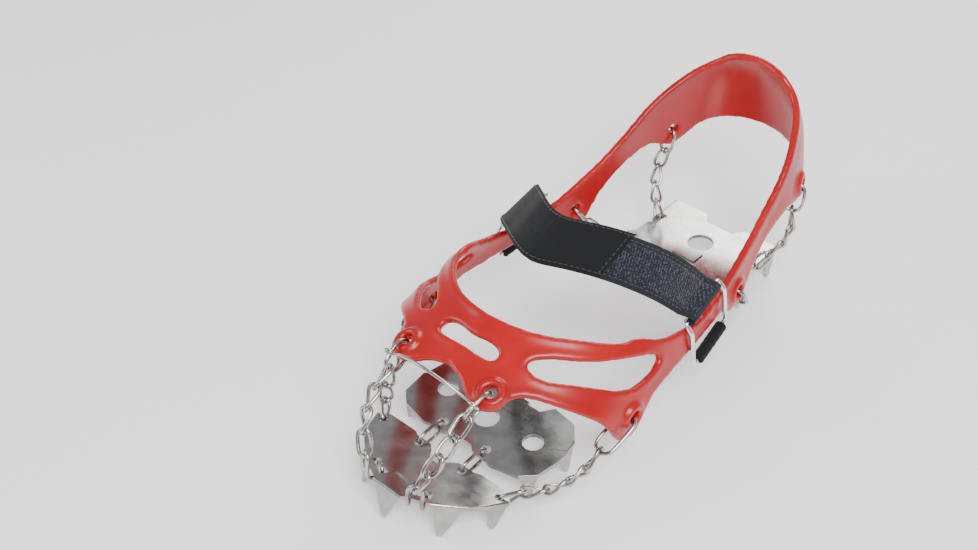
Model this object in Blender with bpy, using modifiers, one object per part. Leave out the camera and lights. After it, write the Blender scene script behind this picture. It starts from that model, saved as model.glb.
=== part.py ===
"""Shoe ice cleats: an elastomer harness that stretches round a hiking shoe and carries three spike plates
on twisted wire chains under its sole.

Metres, +Z up, toe towards -Y, the wearer's left at +X. The lowest spike tips stand at z = 0, and the
harness is modelled stretched, as on a shoe. Everything but the strap is mirrored about x = 0.
"""

import math

import bmesh
import bpy
import numpy as np
from mathutils import Matrix, Vector

MM = 0.001
GAP = 0.3 * MM
ORIGIN_SHIFT_Y = -11.36 * MM

# The shoe form that the harness is stretched round. The sole edge runs from the toe tip to the middle of
# the heel, as (x, y); each of its points has a point (y, z) of the ridge above it and the exponent of
# the superellipse between them, from a flat instep to a boxy heel.
SOLE_EDGE = np.array([(0, -127), (24, -121), (44, -98), (55, -64), (58, -32), (55, 4), (50, 40), (44, 80),
                      (40, 112), (27, 139), (0, 149)]) * MM
RIDGE = np.array([(-104, 43), (-98, 49), (-86, 57), (-66, 66), (-44, 77), (-14, 92), (18, 106), (52, 114),
                  (84, 116), (96, 116), (100, 116)]) * MM
SOLE_Z = 34 * MM
SECTION_AT = np.array([0, 40, 90, 150, 200, 240, 326]) * MM
SECTION_EXPONENT = np.array([2.2, 2.1, 1.9, 1.8, 2.0, 2.8, 3.2])

# The harness is drawn flat: along the sole edge in millimetres, and across from the ridge (0) to the
# sole edge (1). FRONT_EDGE and BACK_EDGE run from the centre line at the toe to that at the heel.
FRONT_EDGE = ((62, 0), (61, 0.12), (57, 0.20), (56, 0.28), (58, 0.37), (65, 0.43), (74, 0.41), (81, 0.47),
              (89, 0.62), (96, 0.76), (102, 0.88), (106, 1.02), (112, 1.12), (121, 1.13), (128, 1.05),
              (135, 0.97), (150, 0.96), (180, 0.965), (200, 0.98), (205, 1.045), (218, 1.045), (224, 0.98),
              (240, 0.93), (262, 0.905), (271, 0.93), (279, 0.95), (287, 0.93), (296, 0.89),
              (310, 0.87), (328, 0.87))
BACK_EDGE = ((104, 0), (104, 0.12), (108, 0.28), (121, 0.48), (131, 0.60), (138, 0.63), (149, 0.75),
             (165, 0.83), (176, 0.875), (192, 0.87), (215, 0.86), (234, 0.84), (250, 0.79), (266, 0.70),
             (285, 0.60), (300, 0.52), (310, 0.42), (328, 0.40))
SIDE_WINDOW = ((91, 0.32), (99, 0.35), (113, 0.54), (127, 0.66), (142, 0.77), (144, 0.82), (134, 0.85),
               (119, 0.81), (103, 0.60), (90, 0.43))
CENTRE_WINDOW = ((79, -0.15), (79, 0.15), (83, 0.205), (89, 0.18), (90, 0.10), (88, 0), (90, -0.10),
                 (89, -0.18), (83, -0.205))
ACROSS = 100 * MM
HARNESS_THICKNESS = 3.2 * MM
HARNESS_CELL = 6 * MM
# Where each pair of eyelets sits on the flat pattern: (along, across).
EYELETS = {"toe": (68, 0.32), "side": (119, 1.0), "arch": (211, 0.965), "heel": (279, 0.89)}
BOSS_RADIUS = 6.8 * MM
BOSS_HEIGHT = 5.2 * MM
EYELET_RADIUS = 2.9 * MM

# Wire pieces.
CHAIN_WIRE = 1.0 * MM
CHAIN_PITCH = 9.8 * MM
CHAIN_HALF_WIDTH = 2.95 * MM
CHAIN_TWIST = math.radians(45)
CONNECTOR_WIRE = 1.0 * MM
CONNECTOR_HALF_WIDTH = 4.6 * MM
CROWN_OVERLAP = CHAIN_WIRE + 0.3 * MM
BAIL_WIRE = 0.8 * MM
BAIL_EYE_RADIUS = 2.4 * MM
BUCKLE_WIRE = 1.3 * MM

# Spike plates.
PLATE_THICKNESS = 2 * MM
TOE_PLATE_TILT = math.radians(13.6)
TOE_PLATE_FRONT = Vector((0, -125 * MM, 19.8 * MM))
BALL_PLATE_TOP = 13.4 * MM
HEEL_PLATE_TOP = 15.5 * MM

# Each chain ends on a strip of plate, between a hole and the plate's edge, that its last link closes round.
# The strip's middle and its outward direction are (x, y) on the plate; the heading is that of the link,
# back up from the plate.
STRIP_WIDTH = 2.0
STRIP_HOLE_RADIUS = 2.1
SIDE_STRIP = (37.3, 34.1)
SIDE_OUT = Vector((0.62, 0.78))
SIDE_HEADING = Vector((0.58, 0.73, 0.34))
ARCH_STRIP = (32.3, 2.9)
ARCH_OUT = Vector((0.735, -0.678))
ARCH_HEADING = Vector((0.671, -0.62, 0.407))
HEEL_STRIP = (31.9, 28.7)
HEEL_OUT = Vector((1, 0))
HEEL_HEADING = Vector((0.5, 0.3, 0.81))

# How far each wire connector reaches past its eyelet, and the point it heads for.
CONNECTOR_REACH = {"toe": 14.0 * MM, "side": 20.0 * MM, "arch": 15.0 * MM, "heel": 13.5 * MM}
CONNECTOR_AIM = {"toe": Vector((15, -121, 27)) * MM, "side": Vector((58, -57, 25)) * MM,
                 "arch": Vector((40, 61.5, 26)) * MM, "heel": Vector((32, 107, 12)) * MM}
MOST_DIP = math.radians(4.5)

# The instep strap.
STRAP_HALF_WIDTH = 12.2
STRAP_RIDGE_AT = 150
STRAP_BUCKLE_AT = 179
STRAP_BUCKLE_ACROSS = 0.79
STRAP_THICKNESS = 1.8 * MM
# The buckle frame's rows of corners beside the strap, from its upper bar: (lift off the form, across).
BUCKLE_ROWS = ((3.4, 0.79), (5.8, 0.84), (5.8, 0.985))
BUCKLE_DROP = 2.6 * MM
ROLL_RADIUS = 2.9 * MM


# ---------------------------------------------------------------- scene and materials

def clear_scene():
    for thing in list(bpy.data.objects):
        bpy.data.objects.remove(thing)


def make_collection(name, rendered=True):
    collection = bpy.data.collections.new(name)
    collection.hide_render = not rendered
    bpy.context.scene.collection.children.link(collection)
    return collection


def make_material(name, colour, roughness, metallic=0.0):
    material = bpy.data.materials.new(name)
    material.use_nodes = True
    shader = material.node_tree.nodes["Principled BSDF"]
    shader.inputs["Base Color"].default_value = (*colour, 1)
    shader.inputs["Roughness"].default_value = roughness
    shader.inputs["Metallic"].default_value = metallic
    return material


clear_scene()
PARTS = make_collection("shoe_ice_cleats")
CUTTERS = make_collection("cutters", rendered=False)
RED_RUBBER = make_material("red_elastomer", (0.66, 0.012, 0.014), 0.28)
CHAIN_STEEL = make_material("chain_steel", (0.62, 0.59, 0.56), 0.27, 1)
PLATE_STEEL = make_material("plate_steel", (0.68, 0.67, 0.65), 0.22, 1)
BUCKLE_STEEL = make_material("buckle_steel", (0.72, 0.71, 0.69), 0.18, 1)
BLACK_WEBBING = make_material("black_webbing", (0.012, 0.012, 0.014), 0.8)
LOOP_PILE = make_material("loop_pile", (0.03, 0.034, 0.045), 0.95)


def add_object(name, data, material, collection=PARTS):
    made = bpy.data.objects.new(name, data)
    if material:
        data.materials.clear()
        data.materials.append(material)
    collection.objects.link(made)
    return made


def to_mesh(source, name):
    """The evaluated mesh of an object, in world space, with the source removed."""
    graph = bpy.context.evaluated_depsgraph_get()
    mesh = bpy.data.meshes.new_from_object(source.evaluated_get(graph))
    mesh.name = name
    mesh.transform(source.matrix_world)
    bpy.data.objects.remove(source)
    welded = bmesh.new()
    welded.from_mesh(mesh)
    bmesh.ops.remove_doubles(welded, verts=welded.verts, dist=0.01 * MM)
    welded.to_mesh(mesh)
    welded.free()
    return mesh


def add_boolean(target, cutter, operation):
    modifier = target.modifiers.new(operation.lower(), "BOOLEAN")
    modifier.operation = operation
    modifier.solver = "EXACT"
    modifier.object = cutter
    cutter.display_type = "WIRE"
    cutter.hide_render = True
    for owner in list(cutter.users_collection):
        owner.objects.unlink(cutter)
    CUTTERS.objects.link(cutter)


def mirrored(vector):
    return Vector((-vector.x, vector.y, vector.z))


# ---------------------------------------------------------------- the shoe form

def spline_points(points, samples_per_span, reflect):
    """A Catmull-Rom curve through the points; both ends are continued by reflecting their neighbours."""
    ends = np.vstack([reflect(points[1], points[0]), points, reflect(points[-2], points[-1])])
    spans = []
    for first in range(len(points) - 1):
        a, b, c, d = ends[first:first + 4]
        f = np.linspace(0, 1, samples_per_span, endpoint=False)[:, None]
        spans.append(0.5 * (2 * b + (c - a) * f + (2 * a - 5 * b + 4 * c - d) * f**2
                            + (3 * b - a - 3 * c + d) * f**3))
    return np.vstack(spans + [points[-1:]])


EDGE_CURVE = spline_points(SOLE_EDGE, 60, lambda inner, end: np.array([-inner[0], inner[1]]))
RIDGE_CURVE = spline_points(RIDGE, 60, lambda inner, end: 2 * end - inner)
EDGE_AT = np.concatenate([[0], np.cumsum(np.linalg.norm(np.diff(EDGE_CURVE, axis=0), axis=1))])
EDGE_LENGTH = EDGE_AT[-1]


def form_point(along, across):
    """The form's surface, at a length along the sole edge and a share of the way across from the ridge.
    Past the middle of the heel, and at negative shares, it goes on round the far side."""
    folded = min(along, 2 * EDGE_LENGTH - along)
    side = 1 if along <= EDGE_LENGTH else -1
    edge_x = side * np.interp(folded, EDGE_AT, EDGE_CURVE[:, 0])
    edge_y = np.interp(folded, EDGE_AT, EDGE_CURVE[:, 1])
    ridge_y = np.interp(folded, EDGE_AT, RIDGE_CURVE[:, 0])
    ridge_z = np.interp(folded, EDGE_AT, RIDGE_CURVE[:, 1])
    power = 2 / np.interp(folded, SECTION_AT, SECTION_EXPONENT)
    angle = min(abs(across), 1) * math.pi / 2
    out = math.sin(angle) ** power
    up = math.cos(angle) ** power if angle < math.pi / 2 - 1e-6 else 0
    below = max(abs(across) - 1, 0) * ACROSS
    return Vector((math.copysign(1, across) * edge_x * out, ridge_y + (edge_y - ridge_y) * out,
                   SOLE_Z + (ridge_z - SOLE_Z) * up - below))


def form_frame(along, across):
    """A point of the form with its outward normal there."""
    step = 0.8 * MM
    share = step / ACROSS
    lengthwise = form_point(along + step, across) - form_point(along - step, across)
    crosswise = form_point(along, across + share) - form_point(along, across - share)
    return form_point(along, across), crosswise.cross(lengthwise).normalized()


def lifted(along, across, height):
    point, normal = form_frame(along, across)
    return point + normal * height


# ---------------------------------------------------------------- flat patterns laid on the form

def rounded(points, closed=True, passes=1):
    """The outline with its corners cut twice, which leaves smooth bends between straight runs."""
    points = [Vector(p) for p in points]
    for _ in range(passes):
        cut = [] if closed else [points[0]]
        for first, second in zip(points, points[1:] + points[:1] if closed else points[1:]):
            cut += [first.lerp(second, 0.25), first.lerp(second, 0.75)]
        points = cut if closed else cut + [points[-1]]
    return points


def flat_prism(name, outlines, half_height, scale=(1, 1)):
    """A closed solid of the outlines, the first outside and the rest holes, standing across z = 0."""
    curve = bpy.data.curves.new(name, "CURVE")
    curve.dimensions = "2D"
    curve.fill_mode = "BOTH"
    curve.extrude = half_height
    for outline in outlines:
        spline = curve.splines.new("POLY")
        spline.points.add(len(outline) - 1)
        for point, corner in zip(spline.points, outline):
            point.co = (corner[0] * scale[0], corner[1] * scale[1], 0, 1)
        spline.use_cyclic_u = True
    source = bpy.data.objects.new(name, curve)
    bpy.context.scene.collection.objects.link(source)
    return to_mesh(source, name)


def slab(name, low, high, cell, thickness):
    """A closed flat slab of square cells, from z = 0 up to its thickness."""
    size = (high[0] - low[0], high[1] - low[1])
    made = bmesh.new()
    bmesh.ops.create_grid(made, x_segments=round(size[0] / cell), y_segments=round(size[1] / cell), size=0.5)
    bmesh.ops.scale(made, vec=(size[0], size[1], 1), verts=made.verts)
    bmesh.ops.translate(made, vec=((low[0] + high[0]) / 2, (low[1] + high[1]) / 2, 0), verts=made.verts)
    raised = bmesh.ops.extrude_face_region(made, geom=made.faces[:])
    top = [part for part in raised["geom"] if isinstance(part, bmesh.types.BMVert)]
    bmesh.ops.translate(made, vec=(0, 0, thickness), verts=top)
    bmesh.ops.recalc_face_normals(made, faces=made.faces)
    mesh = bpy.data.meshes.new(name)
    made.to_mesh(mesh)
    made.free()
    return mesh


def build_harness():
    scale = (MM, ACROSS)
    heel = EDGE_LENGTH / MM
    outline = rounded([*FRONT_EDGE, (heel, 0.87)], closed=False)
    outline += rounded([(heel, 0.40), *reversed(BACK_EDGE)], closed=False)
    sheet = slab("harness_sheet", (51 * MM, -8 * MM), (EDGE_LENGTH + 4 * MM, 118 * MM), HARNESS_CELL,
                 HARNESS_THICKNESS)
    flat = add_object("harness_flat", sheet, None)
    cutters = [("outline", outline, "INTERSECT"), ("side_window", rounded(SIDE_WINDOW), "DIFFERENCE"),
               ("centre_window", rounded(CENTRE_WINDOW), "DIFFERENCE")]
    for name, corners, operation in cutters:
        prism = flat_prism(f"harness_{name}", [corners], 20 * MM, scale)
        add_boolean(flat, add_object(f"harness_{name}", prism, None), operation)
    half = to_mesh(flat, "harness_half")
    lay_on_form(half)
    harness = add_object("harness", mirrored_mesh(half), RED_RUBBER)
    for name in EYELETS:
        foot, normal = eyelet(name)
        for flip in (Vector, mirrored):
            boss = round_peg(f"{name}_boss", flip(foot - normal * 0.2 * MM), flip(normal), BOSS_RADIUS,
                             BOSS_HEIGHT + 0.2 * MM, 18)
            add_boolean(harness, boss, "UNION")
    for name in EYELETS:
        foot, normal = eyelet(name)
        for flip in (Vector, mirrored):
            hole = round_peg(f"{name}_eyelet", flip(foot - normal * 8 * MM), flip(normal), EYELET_RADIUS,
                             20 * MM, 12)
            add_boolean(harness, hole, "DIFFERENCE")
    return harness


def lay_on_form(mesh):
    """Bends a flat half sheet round the form, and opens it along the middle plane."""
    for vertex in mesh.vertices:
        vertex.co = lifted(vertex.co.x, vertex.co.y / ACROSS, vertex.co.z)
        if abs(vertex.co.x) < 0.05 * MM:
            vertex.co.x = 0
    shape = bmesh.new()
    shape.from_mesh(mesh)
    bmesh.ops.recalc_face_normals(shape, faces=shape.faces)
    middle = [face for face in shape.faces if all(vertex.co.x == 0 for vertex in face.verts)]
    bmesh.ops.delete(shape, geom=middle, context="FACES")
    shape.to_mesh(mesh)
    shape.free()


def mirrored_mesh(half):
    """The half sheet joined to its mirror image."""
    source = add_object("half", half, None)
    mirror = source.modifiers.new("mirror", "MIRROR")
    mirror.merge_threshold = 0.01 * MM
    return to_mesh(source, "harness")


def round_peg(name, foot, axis, radius, height, sides):
    made = bmesh.new()
    bmesh.ops.create_cone(made, cap_ends=True, segments=sides, radius1=radius, radius2=radius, depth=height)
    turn = Vector((0, 0, 1)).rotation_difference(axis).to_matrix().to_4x4()
    made.transform(Matrix.Translation(foot + axis * height / 2) @ turn)
    mesh = bpy.data.meshes.new(name)
    made.to_mesh(mesh)
    made.free()
    return add_object(name, mesh, None)


def eyelet(name):
    """The foot of an eyelet's axis on the form, and the axis, on the left side."""
    along, across = EYELETS[name]
    return form_frame(along * MM, across)


def eyelet_centre(name):
    foot, normal = eyelet(name)
    return foot + normal * BOSS_HEIGHT / 2


# ---------------------------------------------------------------- wire pieces

def wire_curve(name, points, radius, closed=True, resolution=1):
    curve = bpy.data.curves.new(name, "CURVE")
    curve.dimensions = "3D"
    curve.bevel_depth = radius
    curve.bevel_resolution = resolution
    curve.use_fill_caps = not closed
    spline = curve.splines.new("POLY")
    spline.points.add(len(points) - 1)
    for point, place in zip(spline.points, points):
        point.co = (*place, 1)
    spline.use_cyclic_u = closed
    return curve


def stadium(half_length, half_width, end_steps=5, side_steps=2):
    """A closed oval in the XZ plane: x across, z along, with round ends."""
    straight = half_length - half_width
    points = []
    for side in (1, -1):
        for step in range(end_steps + 1):
            angle = math.pi * step / end_steps
            points.append(Vector((side * half_width * math.cos(angle), 0,
                                  side * (straight + half_width * math.sin(angle)))))
        for step in range(1, side_steps):
            points.append(Vector((-side * half_width, 0, side * straight * (1 - 2 * step / side_steps))))
    return points


def twisted_link(name, upper_turn, lower_turn):
    """A chain link that hangs from its upper joint, at its origin: each end is turned about its length."""
    half_length = CHAIN_PITCH / 2 + CROWN_OVERLAP
    points = []
    for point in stadium(half_length, CHAIN_HALF_WIDTH):
        share = (half_length - point.z) / (2 * half_length)
        turn = upper_turn + (lower_turn - upper_turn) * share
        turned = Matrix.Rotation(turn, 3, "Z") @ point
        points.append(turned - Vector((0, 0, CHAIN_PITCH / 2)))
    return wire_curve(name, points, CHAIN_WIRE)


def hang(made, top, bottom, facing):
    """Places a piece whose local -Z runs from top to bottom and whose local -Y faces outwards."""
    down = (bottom - top).normalized()
    out = (facing - down * facing.dot(down)).normalized()
    across = down.cross(out)
    frame = Matrix((across, -out, -down)).transposed()
    if frame.determinant() < 0:
        frame = Matrix((-across, -out, -down)).transposed()
    made.matrix_world = Matrix.Translation(top) @ frame.to_4x4()


def arc_joints(start, end, bulge, count):
    """The joints of a chain that hangs in an arc of equal links from start to end, bulging outwards."""
    chord = end - start
    span = chord.length
    low, high = 1e-4, 1.0
    for _ in range(60):
        turn = (low + high) / 2
        reach = CHAIN_PITCH * math.sin(count * turn / 2) / math.sin(turn / 2)
        low, high = (turn, high) if reach > span else (low, turn)
    along = chord.normalized()
    out = (bulge - along * bulge.dot(along)).normalized()
    joints, place = [start], start

    for number in range(count):
        slope = turn * ((count - 1) / 2 - number)
        place = place + (along * math.cos(slope) + out * math.sin(slope)) * CHAIN_PITCH
        joints.append(place)
    return joints


def add_pair(name, curve, top, bottom, facing, material):
    """A left piece and its mirror image on the right."""
    left = add_object(f"{name}_left", curve, material)
    hang(left, top, bottom, facing)
    flipped = curve.copy()
    flipped.transform(Matrix.Scale(-1, 4, (1, 0, 0)))
    right = add_object(f"{name}_right", flipped, material)
    hang(right, mirrored(top), mirrored(bottom), mirrored(facing))
    return left, right


def connector_joint(name):
    """Where an eyelet's connector ends: it lies nearly on the harness and heads for its aim."""
    top = eyelet_centre(name)
    axis = eyelet(name)[1]
    aim = CONNECTOR_AIM[name] - top
    level = aim - axis * aim.dot(axis)
    dip = math.atan2(aim.dot(axis), level.length)
    dip = max(-MOST_DIP, min(MOST_DIP, dip))
    return top + (level.normalized() * math.cos(dip) + axis * math.sin(dip)) * CONNECTOR_REACH[name]


def build_connector(name, joint):
    """A long wire oval through an eyelet; its plane holds the eyelet's axis."""
    top = eyelet_centre(name)
    axis = eyelet(name)[1]
    length = (joint - top).length + CROWN_OVERLAP
    points = [point - Vector((0, 0, length / 2)) for point in stadium(length / 2, CONNECTOR_HALF_WIDTH, 6)]
    curve = wire_curve(f"{name}_connector", [Vector((0, p.x, p.z)) for p in points], CONNECTOR_WIRE)
    add_pair(f"{name}_connector", curve, top, joint, axis, CHAIN_STEEL)


LINK_SHAPES = {}


def link_shape(upper_turn, lower_turn):
    key = (round(math.degrees(upper_turn)), round(math.degrees(lower_turn)))
    if key not in LINK_SHAPES:
        LINK_SHAPES[key] = twisted_link(f"link_{key[0]}_{key[1]}", upper_turn, lower_turn)
    return LINK_SHAPES[key]


def chain_joints(start, end, heading, bulge, count):
    """The joints of a chain whose last link runs straight into its plate, and the rest in an arc."""
    last = end + heading.normalized() * CHAIN_PITCH
    return arc_joints(start, last, bulge, count - 1) + [end]


def chain_facings(joints, first, last):
    """The outward side of every link, carried along the chain and rolled evenly to end as wanted, and
    the roll from each link to the next."""
    runs = [(second - top).normalized() for top, second in zip(joints, joints[1:])]
    facings = [(first - runs[0] * first.dot(runs[0])).normalized()]
    for before, after in zip(runs, runs[1:]):
        facings.append(before.rotation_difference(after) @ facings[-1])
    wanted = (last - runs[-1] * last.dot(runs[-1])).normalized()
    roll = math.atan2(facings[-1].cross(wanted).dot(runs[-1]), facings[-1].dot(wanted))
    turns = [Matrix.Rotation(roll * number / (len(runs) - 1), 3, run) for number, run in enumerate(runs)]

    return [turn @ facing for turn, facing in zip(turns, facings)], roll / (len(runs) - 1)


def strip_joint(frame, strip, heading):
    """Where the last link of a chain ends, when its round end closes round a strip of plate."""
    centre = frame @ (Vector((*strip, -PLATE_THICKNESS / MM / 2)) * MM)
    return centre - heading.normalized() * (CHAIN_HALF_WIDTH - CROWN_OVERLAP)


def strip_side(out, heading):
    """The direction square to a link that is closed round a strip, in the plane across the strip."""
    return heading.cross(Vector((-out.y, out.x, 0))).normalized()


def strip_hole(strip, out):
    """The hole behind a strip of plate, as (x, y)."""
    back = STRIP_WIDTH / 2 + STRIP_HOLE_RADIUS
    return strip[0] - out.x * back, strip[1] - out.y * back


def build_chain(name, joints, facings, roll):
    """A pair of mirrored curb chains. Each link's lower end is square to the next link's upper end: the
    first link's upper end is flat, and the last link's lower end is square to the chain's face."""
    count = len(joints) - 1
    for number in range(count):
        upper = 0 if number == 0 else -CHAIN_TWIST + roll / 2
        lower = -math.pi / 2 if number == count - 1 else CHAIN_TWIST - roll / 2
        shape = link_shape(upper, lower).copy()
        add_pair(f"{name}_link_{number + 1}", shape, joints[number], joints[number + 1], facings[number],
                 CHAIN_STEEL)


# ---------------------------------------------------------------- spike plates

def spike(name, half_width, length, tip_radius, lean=0.0):
    """A triangular blade with a round tip: its base is centred on the origin, its outer face at y = 0."""
    tip_z = -length + tip_radius
    angle = math.atan2(half_width - tip_radius, length - tip_radius)
    outline = [Vector((-half_width, 0)), Vector((half_width, 0))]
    for step in range(7):
        turn = -angle - (math.pi - 2 * angle) * step / 6
        outline.append(Vector((lean + tip_radius * math.cos(turn), tip_z + tip_radius * math.sin(turn))))
    mesh = flat_prism(name, [outline], PLATE_THICKNESS / 2)
    mesh.transform(Matrix.Translation((0, PLATE_THICKNESS / 2, 0)) @ Matrix.Rotation(math.pi / 2, 4, "X"))
    return mesh


def plate_frame(origin, tilt):
    """Plate coordinates: x across, y back from the front edge, z up from the top face."""
    return Matrix.Translation(origin) @ Matrix.Rotation(-tilt, 4, "X")


def build_plate(name, frame, outline, holes, spikes, pivot, material=PLATE_STEEL):
    """A flat sheet with holes whose spikes are bent down square from its edge.
    Each spike is (x, y, outward heading in degrees, half width, length, lean of the tip)."""
    sheet = flat_prism(name, [outline, *holes], PLATE_THICKNESS / 2)
    sheet.transform(frame @ Matrix.Translation((0, 0, -PLATE_THICKNESS / 2)))
    plate = add_object(name, sheet, material)
    for number, (x, y, heading, half_width, length, lean) in enumerate(spikes):
        blade = spike(f"{name}_spike_{number}", half_width * MM, length * MM, 1.6 * MM, lean * MM)
        turn = Matrix.Rotation(math.radians(heading), 4, "Z")
        blade.transform(frame @ Matrix.Translation((x * MM, y * MM, 0)) @ turn)
        add_boolean(plate, add_object(f"{name}_spike_{number}", blade, None), "UNION")
    set_origin(plate, pivot)
    return plate


def set_origin(made, pivot):
    """Moves an object's origin to its joint without moving its shape."""
    made.data.transform(Matrix.Translation(-pivot))
    made.matrix_world = Matrix.Translation(pivot)


def both_sides(points):
    """A whole outline from its right-hand half, front to back."""
    return [Vector(p) * MM for p in points] + [Vector((-x, y)) * MM for x, y in reversed(points)]


def round_hole(x, y, radius, sides=12):
    return [Vector((x + radius * math.cos(math.tau * k / sides),
                    y + radius * math.sin(math.tau * k / sides))) * MM for k in range(sides)]


def slot(x, y, half_length, half_depth, heading):
    turn = Matrix.Rotation(math.radians(heading), 2)
    corners = ((-half_length, -half_depth), (half_length, -half_depth), (half_length, half_depth),
               (-half_length, half_depth))
    return [(Vector((x, y)) + turn @ Vector(c)) * MM for c in corners]


def both_holes(make, x, *rest):
    return [make(x, *rest), make(-x, *rest)]


CLIP_HEADING = 26.1
CLIP_EDGE = (14.0, 3.8)
CLIP_PROFILE = ((-4.9, 1.0), (-4.9, -2.4), (-3.9, -3.6), (1.1, -3.6), (2.1, -2.4), (2.1, 8.7))


def build_toe_plate(frame):
    outline = both_sides([(7.5, 0), (9.5, 1.6), (20.5, 7.0), (31.0, 16.0), (33.5, 20.0), (36.5, 24.0),
                          (40.5, 33.0), (35.5, 37.0), (20.0, 37.0), (17.0, 35.5), (9.0, 35.5),
                          (6.0, 33.0), (2.0, 28.0)])
    turn = math.radians(CLIP_HEADING)
    slot_x = CLIP_EDGE[0] - 4.9 * math.sin(turn)
    slot_y = CLIP_EDGE[1] + 4.9 * math.cos(turn)
    holes = [slot(slot_x, slot_y, 5.3, 1.9, CLIP_HEADING), slot(-slot_x, slot_y, 5.3, 1.9, -CLIP_HEADING)]
    holes += both_holes(round_hole, *strip_hole(SIDE_STRIP, SIDE_OUT), STRIP_HOLE_RADIUS)
    holes += both_holes(round_hole, BRIDGE_X, 32.3, 2.3)
    spikes = [(0, 0, 0, 7.5, 16.3, 0), (25.75, 11.5, 40.6, 6.9, 17.2, -2.5),
              (-25.75, 11.5, -40.6, 6.9, 17.2, 2.5), (38.5, 28.5, 66, 4.6, 13.4, -1.5),
              (-38.5, 28.5, -66, 4.6, 13.4, 1.5)]
    pivot = frame @ (Vector((0, CLIP_EDGE[1], -1.0)) * MM)
    return build_plate("toe_plate", frame, outline, holes, spikes, pivot)


BRIDGE_X = 13.0


def build_ball_plate(frame):
    outline = both_sides([(6.0, 3.5), (9.0, 1.0), (17.0, 1.0), (20.0, 0), (34.0, 3.0), (40.0, 8.0),
                          (42.0, 22.0), (40.0, 34.0), (33.0, 42.0), (20.0, 44.0), (16.0, 38.0)])
    holes = [*both_holes(round_hole, BRIDGE_X, 5.5, 2.6), *both_holes(round_hole, 26.0, 22.0, 5.0),
             round_hole(0, 20.0, 6.0, 16)]
    spikes = [(37.5, 5.8, 40, 4.2, 13.3, 0), (-37.5, 5.8, -40, 4.2, 13.3, 0),
              (41.0, 28.0, 100, 5.6, 13.3, 0), (-41.0, 28.0, -100, 5.6, 13.3, 0)]
    pivot = frame @ (Vector((0, 3.0, -1.0)) * MM)
    return build_plate("ball_plate", frame, outline, holes, spikes, pivot)


def build_heel_plate(frame):
    outline = both_sides([(8.0, 6.0), (13.0, 0), (22.0, -1.0), (30.0, -1.0), (36.0, 5.5), (33.0, 10.0),
                          (33.0, 19.0), (30.5, 21.5), (33.0, 24.0), (33.0, 46.0), (12.0, 46.0), (8.0, 40.0)])
    holes = [round_hole(0, 23.0, 7.0, 16)]
    holes += both_holes(round_hole, *strip_hole(ARCH_STRIP, ARCH_OUT), STRIP_HOLE_RADIUS)
    holes += both_holes(round_hole, *strip_hole(HEEL_STRIP, HEEL_OUT), STRIP_HOLE_RADIUS)
    spikes = [(33.0, 14.5, 90, 4.5, 15.5, 0), (-33.0, 14.5, -90, 4.5, 15.5, 0),
              (33.0, 39.5, 90, 4.5, 15.5, 0), (-33.0, 39.5, -90, 4.5, 15.5, 0)]
    pivot = frame @ (Vector((0, HEEL_STRIP[1], -1.0)) * MM)
    return build_plate("heel_plate", frame, outline, holes, spikes, pivot)


def build_pad(plate, name, frame, x, y, half_length, half_depth):
    """A raised flat pad on a plate's top face."""
    outline = [Vector(c) * MM for c in ((x - half_length, y - half_depth), (x + half_length, y - half_depth),
                                        (x + half_length, y + half_depth), (x - half_length, y + half_depth))]
    mesh = flat_prism(name, [outline], 0.8 * MM)
    mesh.transform(frame)
    mesh.transform(Matrix.Translation(-plate.matrix_world.translation))
    pad = add_object(name, mesh, None)
    pad.matrix_world = plate.matrix_world
    add_boolean(plate, pad, "UNION")


# ---------------------------------------------------------------- assembly

def clip_point(frame, across, out, up):
    """A point beside the toe plate's edge, on the left: across its middle, outwards and up from the edge."""
    turn = Matrix.Rotation(math.radians(CLIP_HEADING), 4, "Z")
    return frame @ (Vector((*CLIP_EDGE, 0)) * MM + turn @ Vector((across, -out, up)))


def build_toe_clip(joint, frame):
    """The closed wire that hooks under the toe plate's edge and up through its slot: a flat oval wrapped
    along the clip's profile."""
    profile = [Vector(p) * MM for p in rounded(CLIP_PROFILE, closed=False)]
    lengths = [0.0]
    for first, second in zip(profile, profile[1:]):
        lengths.append(lengths[-1] + (second - first).length)
    half = lengths[-1] / 2
    points = []
    for point in stadium(half, 3.3 * MM, 6, 8):
        run = point.z + half
        out = float(np.interp(run, lengths, [p.x for p in profile]))
        up = float(np.interp(run, lengths, [p.y for p in profile]))
        points.append(clip_point(frame, point.x, out, up))
    left = wire_curve("toe_clip_left", [p - joint for p in points], CHAIN_WIRE)
    right = wire_curve("toe_clip_right", [mirrored(p) - mirrored(joint) for p in points], CHAIN_WIRE)
    add_object("toe_clip_left", left, CHAIN_STEEL).location = joint
    add_object("toe_clip_right", right, CHAIN_STEEL).location = mirrored(joint)


def build_straight_links(name, x, top, bottom, facing):
    """A pair of flat links that join two plates through their round holes."""
    half = (bottom - top).length / 2
    middle = (top + bottom) / 2
    along = (bottom - top).normalized()
    points = []
    for point in stadium(half, CHAIN_HALF_WIDTH + 0.6 * MM, 6):
        points.append(Vector((0, 0, 0)) + along * point.z + facing * point.x)
    for side, label in ((1, "left"), (-1, "right")):
        curve = wire_curve(f"{name}_{label}", points, CHAIN_WIRE)
        link = add_object(f"{name}_{label}", curve, CHAIN_STEEL)
        start = Vector((side * x, top.y, top.z))
        link.data.transform(Matrix.Translation(Vector((side * x, middle.y, middle.z)) - start))
        link.location = start


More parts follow.
